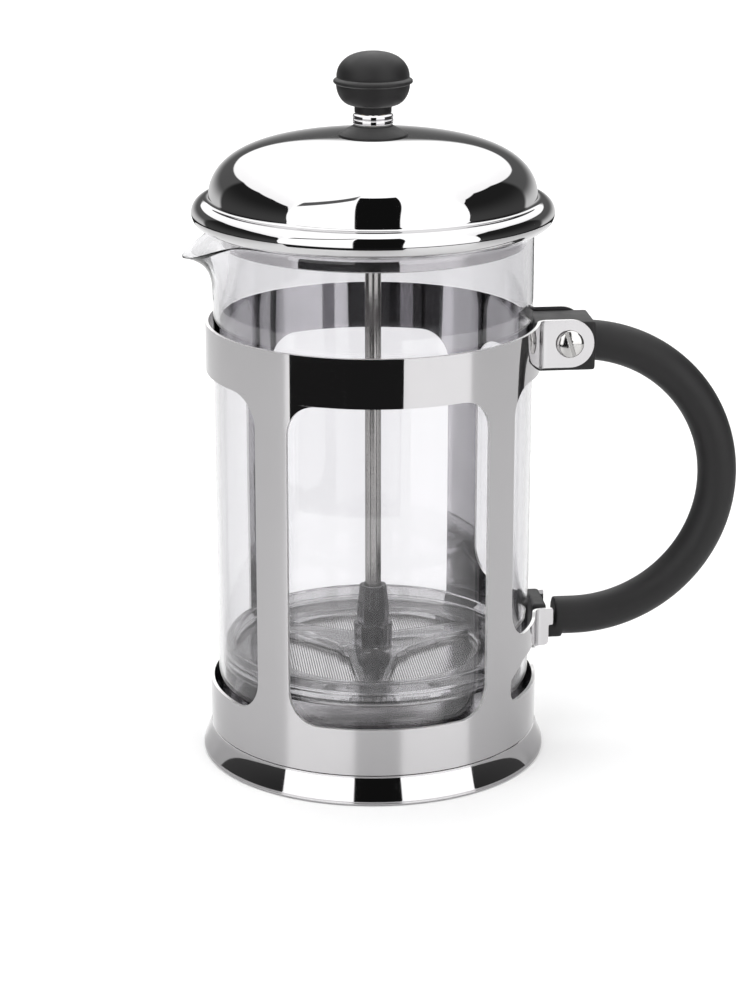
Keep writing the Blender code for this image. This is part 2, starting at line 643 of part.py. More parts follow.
mesh_disc = [(44.6, 31.05), (44.6, 30.5), (BORE_R, 30.5), (BORE_R, 31.05)]
finish(turned("filter_mesh", mesh_disc, 40), material("filter_mesh", STEEL, 0.4, 1.0))

seal = arc(45.85, 30.05, 0.95, 90, -270, 7)[:-1]
finish(turned("filter_seal", seal, 40), material("filter_seal", SMOKE, 0.4))

plate = applied(outline_curve("filter_plate", [circle(0, 0, 43.8, 40), circle(0, 0, BORE_R, 12)] +
                              [circle(14.0 * math.cos(a), 14.0 * math.sin(a), 3.2, 8) for a in
                               [2 * math.pi * k / 6 for k in range(6)]] +
                              [circle(31.0 * math.cos(a), 31.0 * math.sin(a), 4.2, 8) for a in
                               [2 * math.pi * (k + 0.5) / 12 for k in range(12)]], 0.45))
plate.data.transform(Matrix.Translation((0, 0, 29.7 * MM)))
finish(plate, material("filter_plate", STEEL, 0.3, 1.0))

fnut = [(6.0, 28.95), (6.0, 22.6), (5.2, 21.6), (BORE_R, 21.6), (BORE_R, 28.95)]
finish(turned("filter_nut", fnut, 24), material("filter_nut", SMOKE, 0.3))

bpy.context.view_layer.update()
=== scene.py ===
"""French press: finished surfaces, materials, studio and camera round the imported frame."""
import json
import math

import bmesh
import bpy
import numpy as np
from mathutils import Matrix, Vector

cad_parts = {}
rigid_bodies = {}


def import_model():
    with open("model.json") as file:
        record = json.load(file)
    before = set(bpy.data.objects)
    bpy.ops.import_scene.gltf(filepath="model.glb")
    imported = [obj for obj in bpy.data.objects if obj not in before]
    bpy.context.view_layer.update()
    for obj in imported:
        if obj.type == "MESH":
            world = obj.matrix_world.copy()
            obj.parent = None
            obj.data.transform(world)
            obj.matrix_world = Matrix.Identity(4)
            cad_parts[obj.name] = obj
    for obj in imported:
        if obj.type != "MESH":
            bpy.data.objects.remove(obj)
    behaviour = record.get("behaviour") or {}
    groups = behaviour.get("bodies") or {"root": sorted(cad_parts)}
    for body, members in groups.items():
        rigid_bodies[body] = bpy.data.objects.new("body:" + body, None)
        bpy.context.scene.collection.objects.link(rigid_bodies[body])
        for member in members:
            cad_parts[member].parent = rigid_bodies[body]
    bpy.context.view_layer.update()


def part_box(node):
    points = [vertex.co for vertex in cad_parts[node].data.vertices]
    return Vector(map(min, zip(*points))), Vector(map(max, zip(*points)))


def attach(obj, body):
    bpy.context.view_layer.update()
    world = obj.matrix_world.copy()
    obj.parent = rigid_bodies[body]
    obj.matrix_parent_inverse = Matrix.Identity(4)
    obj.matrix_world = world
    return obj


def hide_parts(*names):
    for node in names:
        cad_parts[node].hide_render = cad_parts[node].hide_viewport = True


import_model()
scene = bpy.context.scene

MM = 0.001
_lo, _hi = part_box("base_flare")
AX = (_lo.x + _hi.x) / 2 / MM          # beaker axis, mm
VIEW_TURN = math.radians(6.3)          # the camera stands this far round from the -Y side


# =============================================================================================
# mesh helpers (all in mm, about the beaker's axis)
# =============================================================================================
def link(name, me):
    o = bpy.data.objects.new(name, me)
    scene.collection.objects.link(o)
    return o


def to_world(me, axis_x=None):
    me.transform(Matrix.Translation(((AX if axis_x is None else axis_x) * MM, 0, 0)))


def rounded(corners, seg=5, closed=True):
    """Outline from (x, z, radius) corners; an open one keeps its ends."""
    out = []
    n = len(corners)
    for i in range(n):
        x, z, r = corners[i]
        if r <= 0 or (not closed and i in (0, n - 1)):
            out.append((x, z))
            continue
        p = Vector((x, z))
        a = Vector(corners[i - 1][:2])
        b = Vector(corners[(i + 1) % n][:2])
        la, lb = (a - p).length, (b - p).length
        u, v = (a - p) / la, (b - p) / lb
        ang = math.acos(max(-1.0, min(1.0, u.dot(v))))
        if ang > math.pi - 0.02:
            out.append((x, z))
            continue
        half = ang / 2
        d = min(r / math.tan(half), la * 0.49, lb * 0.49)
        r = d * math.tan(half)
        c = p + (u + v).normalized() * (r / math.sin(half))
        p0, p1 = p + u * d, p + v * d
        a0 = math.atan2(p0.y - c.y, p0.x - c.x)
        a1 = math.atan2(p1.y - c.y, p1.x - c.x)
        while a1 - a0 > math.pi:
            a1 -= 2 * math.pi
        while a1 - a0 < -math.pi:
            a1 += 2 * math.pi
        k = max(2, int(math.ceil(abs(a1 - a0) / math.radians(90) * seg)))
        for j in range(k + 1):
            t = a0 + (a1 - a0) * j / k
            out.append((c.x + r * math.cos(t), c.y + r * math.sin(t)))
    return out


def arc(cx, cz, r, a0, a1, n):
    return [(cx + r * math.cos(math.radians(a0 + (a1 - a0) * i / n)),
             cz + r * math.sin(math.radians(a0 + (a1 - a0) * i / n))) for i in range(n + 1)]


def lathe(name, profile, steps=128, closed=True, shape=None, axis_x=None, sharp=50):
    """Turned piece from (r, z) points down its outer side. closed: a ring; else both ends are on the axis.
    shape(r, angle, z) may return a changed (r, z) for fluting and the like."""
    bm = bmesh.new()
    rings = []
    for r, z in profile:
        if r < 1e-6:
            rings.append([bm.verts.new((0, 0, z))])
            continue
        ring = []
        for i in range(steps):
            a = 2 * math.pi * i / steps
            rr, zz = (r, z) if shape is None else shape(r, a, z)
            ring.append(bm.verts.new((rr * math.cos(a), rr * math.sin(a), zz)))
        rings.append(ring)
    pairs = list(zip(rings[:-1], rings[1:]))
    if closed:
        pairs.append((rings[-1], rings[0]))
    for a, b in pairs:
        for i in range(steps):
            j = (i + 1) % steps
            if len(a) == 1 and len(b) == 1:
                break
            if len(a) == 1:
                bm.faces.new((a[0], b[i], b[j]))
            elif len(b) == 1:
                bm.faces.new((a[j], a[i], b[0]))
            else:
                bm.faces.new((a[j], a[i], b[i], b[j]))
    me = bpy.data.meshes.new(name)
    bm.to_mesh(me)
    bm.free()
    me.transform(Matrix.Scale(MM, 4))
    to_world(me, axis_x)
    me.shade_smooth()
    me.set_sharp_from_angle(angle=math.radians(sharp))
    return link(name, me)


def evaluated(o):
    """The object's evaluated shape as a plain mesh object in its place."""
    dg = bpy.context.evaluated_depsgraph_get()
    dg.update()
    me = bpy.data.meshes.new_from_object(o.evaluated_get(dg), depsgraph=dg)
    name, mw = o.name, o.matrix_world.copy()
    bpy.data.objects.remove(o, do_unlink=True)
    new = link(name, me)
    new.matrix_world = mw
    return new


def weld(me, dist=1e-7):
    bm = bmesh.new()
    bm.from_mesh(me)
    bmesh.ops.remove_doubles(bm, verts=bm.verts, dist=dist)
    bmesh.ops.recalc_face_normals(bm, faces=bm.faces)
    bm.to_mesh(me)
    bm.free()


def prism(name, loops, z0, z1, edge=0.0, segments=3, sharp=40):
    """Flat outline (mm) given a thickness, its edges rounded."""
    cu = bpy.data.curves.new(name, "CURVE")
    cu.dimensions = "2D"
    cu.fill_mode = "BOTH"
    cu.extrude = (z1 - z0) / 2 * MM
    for loop in loops:
        sp = cu.splines.new("POLY")
        sp.points.add(len(loop) - 1)
        for p, (x, y) in zip(sp.points, loop):
            p.co = (x * MM, y * MM, 0.0, 1.0)
        sp.use_cyclic_u = True
    o = bpy.data.objects.new(name, cu)
    scene.collection.objects.link(o)
    o = evaluated(o)
    weld(o.data, 1e-7)
    o.data.transform(Matrix.Translation((0, 0, (z0 + z1) / 2 * MM)))
    if edge:
        b = o.modifiers.new("edge", "BEVEL")
        b.width = edge * MM
        b.segments = segments
        b.limit_method = "ANGLE"
        b.angle_limit = math.radians(50)
        b.miter_outer = "MITER_ARC"
        o = evaluated(o)
    o.data.shade_smooth()
    o.data.set_sharp_from_angle(angle=math.radians(sharp))
    return o


def circle(cx, cy, r, n, phase=0.0):
    return [(cx + r * math.cos(phase + 2 * math.pi * i / n), cy + r * math.sin(phase + 2 * math.pi * i / n))
            for i in range(n)]


def block(name, lo, hi, edge, segments=4):
    me = bpy.data.meshes.new(name)
    bm = bmesh.new()
    bmesh.ops.create_cube(bm, size=1.0)
    bmesh.ops.scale(bm, vec=[(b - a) * MM for a, b in zip(lo, hi)], verts=bm.verts)
    bmesh.ops.translate(bm, vec=[(a + b) / 2 * MM for a, b in zip(lo, hi)], verts=bm.verts)
    if edge:
        bmesh.ops.bevel(bm, geom=bm.edges[:], offset=edge * MM, segments=segments, affect="EDGES", profile=0.5)
    bm.to_mesh(me)
    bm.free()
    return link(name, me)


def boolean(o, other, operation):
    m = o.modifiers.new("b", "BOOLEAN")
    m.operation = operation
    m.object = other
    m.solver = "EXACT"
    new = evaluated(o)
    bpy.data.objects.remove(other, do_unlink=True)
    return new


def drum(name, r, lo, hi, axis="Z", n=96, at=(0, 0, 0)):
    me = bpy.data.meshes.new(name)
    bm = bmesh.new()
    bmesh.ops.create_cone(bm, cap_ends=True, segments=n, radius1=r * MM, radius2=r * MM, depth=(hi - lo) * MM)
    rot = {"Z": Matrix(), "Y": Matrix.Rotation(math.pi / 2, 4, "X")}[axis]
    mid = (lo + hi) / 2
    off = Vector((at[0], at[1], mid)) if axis == "Z" else Vector((at[0], mid, at[2]))
    bmesh.ops.transform(bm, matrix=Matrix.Translation(off * MM) @ rot, verts=bm.verts)
    bm.to_mesh(me)
    bm.free()
    return link(name, me)


# =============================================================================================
# materials
# =============================================================================================
class Nodes:
    def __init__(self, name):
        self.m = bpy.data.materials.new(name)
        self.m.use_nodes = True
        self.t = self.m.node_tree
        self.b = self.t.nodes["Principled BSDF"]
        self.out = self.t.nodes["Material Output"]

    def n(self, kind, **kw):
        node = self.t.nodes.new(kind)
        for k, v in kw.items():
            if k in node.inputs and not hasattr(node, k):
                node.inputs[k].default_value = v
            else:
                setattr(node, k, v)
        return node

    def put(self, node, **kw):
        for k, v in kw.items():
            node.inputs[k.replace("_", " ")].default_value = v
        return node

    def link(self, a, b):
        self.t.links.new(a, b)

    def coords(self, scale=(1, 1, 1), kind="Object"):
        tc = self.n("ShaderNodeTexCoord")
        mp = self.n("ShaderNodeMapping")
        mp.inputs["Scale"].default_value = scale
        self.link(tc.outputs[kind], mp.inputs["Vector"])
        return mp.outputs["Vector"]

    def noise(self, vec, scale, detail=3.0, rough=0.5, distortion=0.0):
        t = self.n("ShaderNodeTexNoise")
        t.inputs["Scale"].default_value = scale
        t.inputs["Detail"].default_value = detail
        t.inputs["Roughness"].default_value = rough
        t.inputs["Distortion"].default_value = distortion
        self.link(vec, t.inputs["Vector"])
        return t.outputs["Fac"]

    def ramp(self, fac, lo, hi, a, b):
        r = self.n("ShaderNodeMapRange")
        r.inputs["From Min"].default_value = lo
        r.inputs["From Max"].default_value = hi
        r.inputs["To Min"].default_value = a
        r.inputs["To Max"].default_value = b
        self.link(fac, r.inputs["Value"])
        return r.outputs["Result"]

    def mix(self, fac, a, b):
        x = self.n("ShaderNodeMix", data_type="RGBA")
        x.inputs[6].default_value = (*a, 1)
        x.inputs[7].default_value = (*b, 1)
        self.link(fac, x.inputs[0])
        return x.outputs[2]

    def math(self, op, a, b=None):
        x = self.n("ShaderNodeMath", operation=op)
        for i, v in enumerate((a, b)):
            if v is None:
                continue
            if isinstance(v, (int, float)):
                x.inputs[i].default_value = v
            else:
                self.link(v, x.inputs[i])
        return x.outputs[0]

    def bump(self, height, strength, distance):
        x = self.n("ShaderNodeBump")
        x.inputs["Strength"].default_value = strength
        x.inputs["Distance"].default_value = distance
        self.link(height, x.inputs["Height"])
        self.link(x.outputs["Normal"], self.b.inputs["Normal"])
        return x


def chrome_material(name, base=(0.60, 0.59, 0.60), rough=0.035, scratch=0.03, wave=0.0):
    """Polished chrome: bright plating, faint hairline scratches, a little handling haze."""
    s = Nodes(name)
    s.b.inputs["Metallic"].default_value = 1.0
    vec = s.coords()
    haze = s.noise(vec, 55.0, 4.0, 0.6)
    hair = s.noise(s.coords((900, 900, 60)), 1.0, 2.0, 0.5)
    lines = s.ramp(hair, 0.60, 0.74, 0.0, 1.0)
    r0 = s.ramp(haze, 0.35, 0.75, rough * 0.7, rough * 1.6)
    s.link(s.math("ADD", r0, s.math("MULTIPLY", lines, scratch)), s.b.inputs["Roughness"])
    s.link(s.mix(s.ramp(haze, 0.3, 0.8, 0.0, 1.0), base, tuple(c * 0.965 for c in base)), s.b.inputs["Base Color"])
    if wave:
        s.bump(s.noise(vec, 42.0, 2.0, 0.4), wave, 0.0002)
    return s.m


def brushed_material(name, base=(0.52, 0.51, 0.50), rough=0.2, stretch=(700, 700, 18), depth=0.25):
    """Ground steel: fine lines along or round the piece."""
    s = Nodes(name)
    s.b.inputs["Metallic"].default_value = 1.0
    grain = s.noise(s.coords(stretch), 1.0, 5.0, 0.6)
    cloud = s.noise(s.coords(), 90.0, 3.0, 0.5)
    s.link(s.ramp(grain, 0.3, 0.7, rough * 0.75, rough * 1.35), s.b.inputs["Roughness"])
    s.link(s.mix(s.math("MULTIPLY", grain, cloud), tuple(c * 1.12 for c in base), tuple(c * 0.72 for c in base)),
           s.b.inputs["Base Color"])
    s.bump(grain, depth, 0.00004)
    return s.m


def black_material(name, base=(0.0135, 0.013, 0.0135), rough=0.50):
    """Soft-touch black moulding: fine spark-eroded grain, slightly uneven sheen."""
    s = Nodes(name)
    vec = s.coords()
    grain = s.noise(vec, 5200.0, 2.0, 0.6)
    mottle = s.noise(vec, 140.0, 4.0, 0.6)
    s.link(s.ramp(mottle, 0.3, 0.7, rough - 0.05, rough + 0.07), s.b.inputs["Roughness"])
    s.link(s.mix(mottle, tuple(c * 0.9 for c in base), tuple(c * 1.25 for c in base)), s.b.inputs["Base Color"])
    s.b.inputs["Specular IOR Level"].default_value = 0.33
    s.b.inputs["Sheen Weight"].default_value = 0.03
    s.b.inputs["Sheen Roughness"].default_value = 0.4
    s.bump(grain, 0.35, 0.00003)
    return s.m


def smoke_material(name, base=(0.66, 0.655, 0.66), transmission=0.95, rough=0.035):
    """Smoke-grey translucent moulding, with faint flow marks."""
    s = Nodes(name)
    vec = s.coords()
    flow = s.noise(s.coords((60, 60, 25)), 1.0, 4.0, 0.55, 1.2)
    fine = s.noise(vec, 1600.0, 2.0, 0.5)
    s.b.inputs["Transmission Weight"].default_value = transmission
    s.b.inputs["IOR"].default_value = 1.5
    s.link(s.ramp(flow, 0.3, 0.7, rough * 0.6, rough * 1.6), s.b.inputs["Roughness"])
    s.link(s.mix(flow, tuple(c * 1.06 for c in base), tuple(c * 0.90 for c in base)), s.b.inputs["Base Color"])
    s.bump(fine, 0.05, 0.00002)
    return s.m


def glass_material(name):
    """Clear borosilicate: faint drawn streaks; lets lamp light through."""
    s = Nodes(name)
    s.b.inputs["Base Color"].default_value = (0.955, 0.955, 0.965, 1)
    s.b.inputs["Transmission Weight"].default_value = 1.0
    s.b.inputs["IOR"].default_value = 1.47
    streak = s.noise(s.coords((26, 26, 5)), 1.0, 3.0, 0.5, 0.4)
    speck = s.noise(s.coords(), 700.0, 2.0, 0.5)
    s.link(s.ramp(speck, 0.62, 0.8, 0.0, 0.035), s.b.inputs["Roughness"])
    s.link(s.mix(streak, (0.928, 0.925, 0.936), (0.896, 0.892, 0.909)), s.b.inputs["Base Color"])
    s.bump(streak, 0.10, 0.0006)
    clear = s.n("ShaderNodeBsdfTransparent")
    clear.inputs["Color"].default_value = (0.93, 0.93, 0.94, 1)
    path = s.n("ShaderNodeLightPath")
    mixer = s.n("ShaderNodeMixShader")
    s.link(s.math("MAXIMUM", path.outputs["Is Shadow Ray"], path.outputs["Is Diffuse Ray"]), mixer.inputs[0])
    s.link(s.b.outputs[0], mixer.inputs[1])
    s.link(clear.outputs[0], mixer.inputs[2])
    s.link(mixer.outputs[0], s.out.inputs["Surface"])
    return s.m


def gauze_material(name, pitch=1.5):
    """Woven stainless gauze: over-and-under wires, open between them; near-black painted shade in the openings and
    along one set of wires.
    """
    s = Nodes(name)
    tc = s.n("ShaderNodeTexCoord")
    sep = s.n("ShaderNodeSeparateXYZ")
    s.link(tc.outputs["Object"], sep.inputs[0])
    k = 2 * math.pi / (pitch * MM)
    wx = s.math("SINE", s.math("MULTIPLY", sep.outputs[0], k))
    wy = s.math("SINE", s.math("MULTIPLY", sep.outputs[1], k))
    ax, ay = s.math("ABSOLUTE", wx), s.math("ABSOLUTE", wy)
    top = s.math("MAXIMUM", ax, ay)
    over = s.math("MULTIPLY", wx, wy)
    open_ = s.ramp(s.math("MAXIMUM", ax, s.math("MULTIPLY", ay, 0.75)), 0.42, 0.74, 1.0, 0.0)
    height = s.math("ADD", s.math("MULTIPLY", over, 0.5), top)
    s.b.inputs["Metallic"].default_value = 1.0
    tone = s.noise(s.coords(), 60.0, 3.0, 0.5)
    # painted shade: the base colour goes near-black where the x wave is low, in the weave's openings and along one set
    # of wires
    painted_weave_shade = s.math("MULTIPLY", s.ramp(ax, 0.25, 0.75, 1.0, 0.0), s.ramp(tone, 0.3, 0.7, 0.8, 1.0))
    s.link(s.mix(painted_weave_shade, (0.70, 0.695, 0.69), (0.035, 0.035, 0.035)), s.b.inputs["Base Color"])
    s.link(s.ramp(tone, 0.3, 0.7, 0.16, 0.24), s.b.inputs["Roughness"])
    s.bump(height, 0.25, 0.00006)
    clear = s.n("ShaderNodeBsdfTransparent")
    mixer = s.n("ShaderNodeMixShader")
    s.link(s.math("MULTIPLY", open_, 0.55), mixer.inputs[0])
    s.link(s.b.outputs[0], mixer.inputs[1])
    s.link(clear.outputs[0], mixer.inputs[2])
    s.link(mixer.outputs[0], s.out.inputs["Surface"])
    return s.m


def brass_material(name):
    s = Nodes(name)
    s.b.inputs["Metallic"].default_value = 1.0
    turn = s.noise(s.coords((60, 60, 2600)), 1.0, 4.0, 0.6)
    tarnish = s.noise(s.coords(), 160.0, 5.0, 0.6)
    s.link(s.mix(tarnish, (0.80, 0.60, 0.28), (0.58, 0.40, 0.17)), s.b.inputs["Base Color"])
    s.link(s.ramp(turn, 0.3, 0.7, 0.18, 0.34), s.b.inputs["Roughness"])
    s.bump(turn, 0.25, 0.00004)
    return s.m


CHROME = chrome_material("polished_chrome")
CUT_EDGE = brushed_material("barrelled_edge", base=(0.86, 0.855, 0.85), rough=0.42, stretch=(500, 500, 500), depth=0.05)
DOME_CHROME = chrome_material("lid_chrome", base=(0.62, 0.615, 0.62), rough=0.028, scratch=0.02)
SATIN = brushed_material("satin_steel", base=(0.66, 0.65, 0.645), rough=0.16, stretch=(150, 150, 150), depth=0.02)
ROD = brushed_material("ground_rod", base=(0.50, 0.49, 0.475), rough=0.20, stretch=(420, 420, 1500), depth=0.12)
BLACK = black_material("soft_black")
SMOKE = smoke_material("smoke_plastic")
HUB = smoke_material("smoke_hub", base=(0.33, 0.325, 0.33), transmission=0.90, rough=0.05)
GLASS = glass_material("clear_glass")
GAUZE = gauze_material("woven_gauze")
BRASS = brass_material("turned_brass")


def done(o, mat, body, slot, *nodes):
    o.data.materials.clear()
    o.data.materials.append(mat)
    if nodes:
        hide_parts(*nodes)
    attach(o, body)
    return o


# =============================================================================================
# frame
# =============================================================================================
SLEEVE_R, SLEEVE_T, SLEEVE_Z0 = 51.0, 1.0, 8.9
WINDOW_Z0, BAND_Z0, BAND_Z1 = 23.6, 124.0, 139.0
PILLAR_IN, PILLAR_OUT, WINDOW_CORNER = 40.7, 53.9, 10.0
EAR_Y, EAR_BEND_R, EAR_END_X, EAR_HOLE_R = 9.1, 3.0, 67.2, 2.4
TAB_TOP, TAB_NOTCH, TAB_BOTTOM, TAB_X_TOP, TAB_X_LOW = 45.6, 40.2, 33.5, 56.1, 54.7
SCREW_X, SCREW_Z = 59.7, 131.5
GLASS_R, GLASS_T, GLASS_Z0, GLASS_Z1 = 49.0, 1.8, 11.8, 168.0

BEND_CY = EAR_Y + EAR_BEND_R
BEND_CX = math.sqrt((SLEEVE_R + EAR_BEND_R) ** 2 - BEND_CY ** 2)
BEND_A = math.atan2(BEND_CY, BEND_CX)
S_BEND = SLEEVE_R * (math.pi - BEND_A)
S_FLAT = S_BEND + EAR_BEND_R * (math.pi / 2 - BEND_A)
S_EAR = S_FLAT + EAR_END_X - BEND_CX
S_RING = SLEEVE_R * math.pi


def along(x):
    return S_FLAT + x - BEND_CX


def deg_s(d):
    return SLEEVE_R * math.radians(d)


def roll(s, z):
    """Blank to rolled sheet: the middle surface's point and its outward normal."""
    side = -1.0 if s >= 0 else 1.0
    t = abs(s)
    if t <= S_BEND or z < 29.0:
        a = math.pi - t / SLEEVE_R
        n = (math.cos(a), side * math.sin(a), 0.0)
        return (SLEEVE_R * n[0], SLEEVE_R * n[1], z), n
    if t <= S_FLAT:
        a = math.pi + BEND_A + (t - S_BEND) / EAR_BEND_R
        n = (-math.cos(a), -side * math.sin(a), 0.0)
        return (BEND_CX - EAR_BEND_R * n[0], side * (BEND_CY + EAR_BEND_R * math.sin(a)), z), n
    return (BEND_CX + (t - S_FLAT), side * EAR_Y, z), (0.06, side * 0.9982, 0.0)


def blank_loops(seg):
    ear_r = (BAND_Z1 - BAND_Z0) / 2
    s_pillar = deg_s(180 - PILLAR_IN)
    half = [(S_EAR, BAND_Z1, ear_r - 0.02), (S_EAR, BAND_Z0, ear_r - 0.02),
            (s_pillar, BAND_Z0, 9.0), (s_pillar, 43.8, 10.0),
            (S_BEND - 1.5, 43.8, 1.5), (S_BEND, TAB_TOP, 1.2),
            (along(TAB_X_TOP), TAB_TOP, 0.6), (along(TAB_X_TOP), TAB_NOTCH, 0.5),
            (along(TAB_X_LOW), TAB_NOTCH, 0.5), (along(TAB_X_LOW), TAB_BOTTOM, 1.6),
            (S_BEND - 0.5, TAB_BOTTOM, 1.5), (S_BEND - 6.0, 37.0, 3.0),
            (s_pillar + 8.0, 35.4, 6.0), (s_pillar, 31.0, 2.5), (s_pillar, WINDOW_Z0, 4.0),
            (S_RING, WINDOW_Z0, 0.0), (S_RING, SLEEVE_Z0, 0.0)]
    right = rounded(half + [(-100.0, SLEEVE_Z0, 0.0), (-100.0, BAND_Z1, 0.0)], seg)[:-2]
    outer = right + [(-s, z) for s, z in reversed(right)]
    w_side = rounded([(-deg_s(PILLAR_IN), WINDOW_Z0, WINDOW_CORNER), (deg_s(PILLAR_IN), WINDOW_Z0, WINDOW_CORNER),
                      (deg_s(PILLAR_IN), BAND_Z0, WINDOW_CORNER), (-deg_s(PILLAR_IN), BAND_Z0, WINDOW_CORNER)], seg)
    a, b = deg_s(PILLAR_OUT), deg_s(180 - PILLAR_OUT)
    w_front = rounded([(a, WINDOW_Z0, WINDOW_CORNER), (b, WINDOW_Z0, WINDOW_CORNER),
                       (b, BAND_Z0, WINDOW_CORNER), (a, BAND_Z0, WINDOW_CORNER)], seg)
    w_back = [(-s, z) for s, z in reversed(w_front)]
    hole = circle(along(SCREW_X), SCREW_Z, EAR_HOLE_R, 32)
    return [outer, w_side, w_front, w_back, hole, [(-s, z) for s, z in reversed(hole)]]


def frame_cage():
    """The sheet blanked flat, its edge rounded over, then rolled with true normals for clean reflections."""
    o = prism("frame_sheet", blank_loops(12), -SLEEVE_T / 2, SLEEVE_T / 2, edge=0.28, segments=3)
    bm = bmesh.new()
    bm.from_mesh(o.data)
    cuts = []
    d = 0.0
    while d < 179.0:
        cuts.append(deg_s(d))
        d += 2.5
    cuts += [S_BEND + (S_FLAT - S_BEND) * k / 12 for k in range(13)]
    for c in sorted({round(c, 5) for c in cuts} | {round(-c, 5) for c in cuts}):
        bmesh.ops.bisect_plane(bm, geom=bm.verts[:] + bm.edges[:] + bm.faces[:], dist=1e-7,
                               plane_co=(c * MM, 0, 0), plane_no=(1, 0, 0))
    bm.normal_update()
    bm.verts.ensure_lookup_table()
    bm.faces.ensure_lookup_table()
    face_on = [abs(f.normal.z) > 0.9 for f in bm.faces]
    # vertex normals before rolling, shared only between faces that meet softly
    soft = {}
    for v in bm.verts:
        for f in v.link_faces:
            total = Vector((0, 0, 0))
            for g in v.link_faces:
                if g.normal.dot(f.normal) > 0.72:
                    total += g.normal * (1.0 if abs(g.normal.z) > 0.999 else 0.35)
            n = f.normal if abs(f.normal.z) > 0.999 else total.normalized()
            soft[(f.index, v.index)] = n.copy()
    loops = []
    for f in bm.faces:
        for loop in f.loops:
            loops.append((loop.vert.index, soft[(f.index, loop.vert.index)]))
    frames = {}
    for v in bm.verts:
        s, z, off = v.co.x / MM, v.co.y / MM, v.co.z / MM
        p, n = roll(s, z)
        n = Vector(n)
        tangent = Vector((0, 0, 1)).cross(n)
        # the blank's +x runs with increasing s; find which way that is round the sheet
        q, _ = roll(s + 0.01, z)
        tangent = (Vector(q) - Vector(p)).normalized()
        frames[v.index] = (tangent, Vector((0, 0, 1)), n)
        v.co = (Vector(p) + n * off) * MM
    normals = []
    for vi, n in loops:
        t, u, w = frames[vi]
        normals.append((t * n.x + u * n.y + w * n.z).normalized())
    for f in bm.faces:
        f.material_index = 0 if face_on[f.index] else 1
    bm.to_mesh(o.data)
    bm.free()
    me = o.data
    me.shade_smooth()
    me.normals_split_custom_set([tuple(n) for n in normals])
    to_world(me)
    return o


cage = frame_cage()
cage.name = "frame_sheet"
edge_faces = [p.index for p in cage.data.polygons if p.material_index == 1]
done(cage, CHROME, "frame", "frame_chrome", "frame_cage")
cage.data.materials.append(CUT_EDGE)
for i in edge_faces:
    cage.data.polygons[i].material_index = 1


def base_flare():
    top, foot = 51.6, 54.1
    pts = [(top - 0.75, 8.66), (top - 0.25, 8.72), (top, 8.6)]
    for i in range(1, 25):
        t = i / 24
        pts.append((top + (foot - top) * t ** 1.2, 8.45 - (8.45 - 1.2) * t))
    pts += arc(foot - 0.6, 0.62, 0.62, 30, -90, 8)
    pts += [(45.3, 0.0), (45.0, 0.2), (45.0, 0.7), (45.3, 0.9), (foot - 1.6, 1.05)]
    for i in range(20, -1, -1):
        t = i / 24
        pts.append((top - 0.9 + (foot - top) * t ** 1.2, 8.3 - (8.3 - 1.4) * t))
    return lathe("foot_flare", pts, 192)


done(base_flare(), CHROME, "frame", "frame_chrome", "base_flare")

plate = rounded([(44.0, 10.6, 0.6), (45.5, 11.15, 0.5), (50.0, 11.15, 0.3), (50.0, 9.95, 0.3), (46.0, 9.9, 0.5), (44.4, 9.4, 0.6)], 4)
dish = lathe("floor_dish", [(0, 10.6), (20, 10.6), (30, 10.6), (36, 10.45), (38, 10.45), (40, 10.6), (43.4, 10.6), (44.6, 10.85), (45.6, 11.18),
                            (49.6, 11.2), (50.0, 11.0), (50.05, 10.3), (49.8, 9.95), (46.2, 9.9), (45.2, 9.62), (44.3, 9.42),
                            (30, 9.4), (0, 9.4)], 144, closed=False)
done(dish, SATIN, "frame", "plain_steel", "base_plate")


# =============================================================================================
# beaker
# =============================================================================================
def beaker():
    around = 256
    outer = [(r, GLASS_Z0) for r in (8.0, 18.0, 28.0, 36.0, 40.0)]
    outer += arc(GLASS_R - 7.0, GLASS_Z0 + 7.0, 7.0, -90, 0, 12)
    z = GLASS_Z0 + 9.0
    while z < 140:
        outer.append((GLASS_R, z))
        z += 12.0
    outer += [(GLASS_R, 140 + 0.875 * k) for k in range(31)]
    rim = [(GLASS_R - GLASS_T / 2 + GLASS_T / 2 * math.cos(math.radians(a)), 167.1 + 0.9 * math.sin(math.radians(a)))
           for a in range(0, 181, 20)]
    ri = GLASS_R - GLASS_T
    inner = [(ri, 167.1 - 0.875 * k) for k in range(1, 31)]
    z = 138.0
    while z > GLASS_Z0 + 9.5:
        inner.append((ri, z))
        z -= 12.0
    inner += arc(ri - 5.4, GLASS_Z0 + GLASS_T + 0.2 + 5.4, 5.4, 0, -90, 12)
    inner += [(r, GLASS_Z0 + GLASS_T + 0.2) for r in (36.0, 28.0, 18.0, 8.0)]
    path = [p for p in outer if p[1] < 167.0] + rim + inner

    def lip(r, a, z):
        off = math.degrees(abs(math.atan2(math.sin(a - math.pi), math.cos(a - math.pi))))
        bulge = math.exp(-(off / 17.0) ** 2)
        t = max(0.0, (z - 144.0) / (168.0 - 144.0))
        rr = r + 9.7 * bulge * t ** 3.0
        zz = z - 8.4 * math.exp(-(off / 20.0) ** 2) * t ** 2.4
        return rr, zz

    return lathe("beaker_glass", [(0, GLASS_Z0)] + path + [(0, GLASS_Z0 + GLASS_T + 0.2)], around, closed=False, shape=lip, sharp=80)


b = beaker()
bm = bmesh.new()
bm.from_mesh(b.data)
bmesh.ops.recalc_face_normals(bm, faces=bm.faces)
bm.to_mesh(b.data)
bm.free()
done(b, GLASS, "beaker", "clear_glass", "glass_beaker")


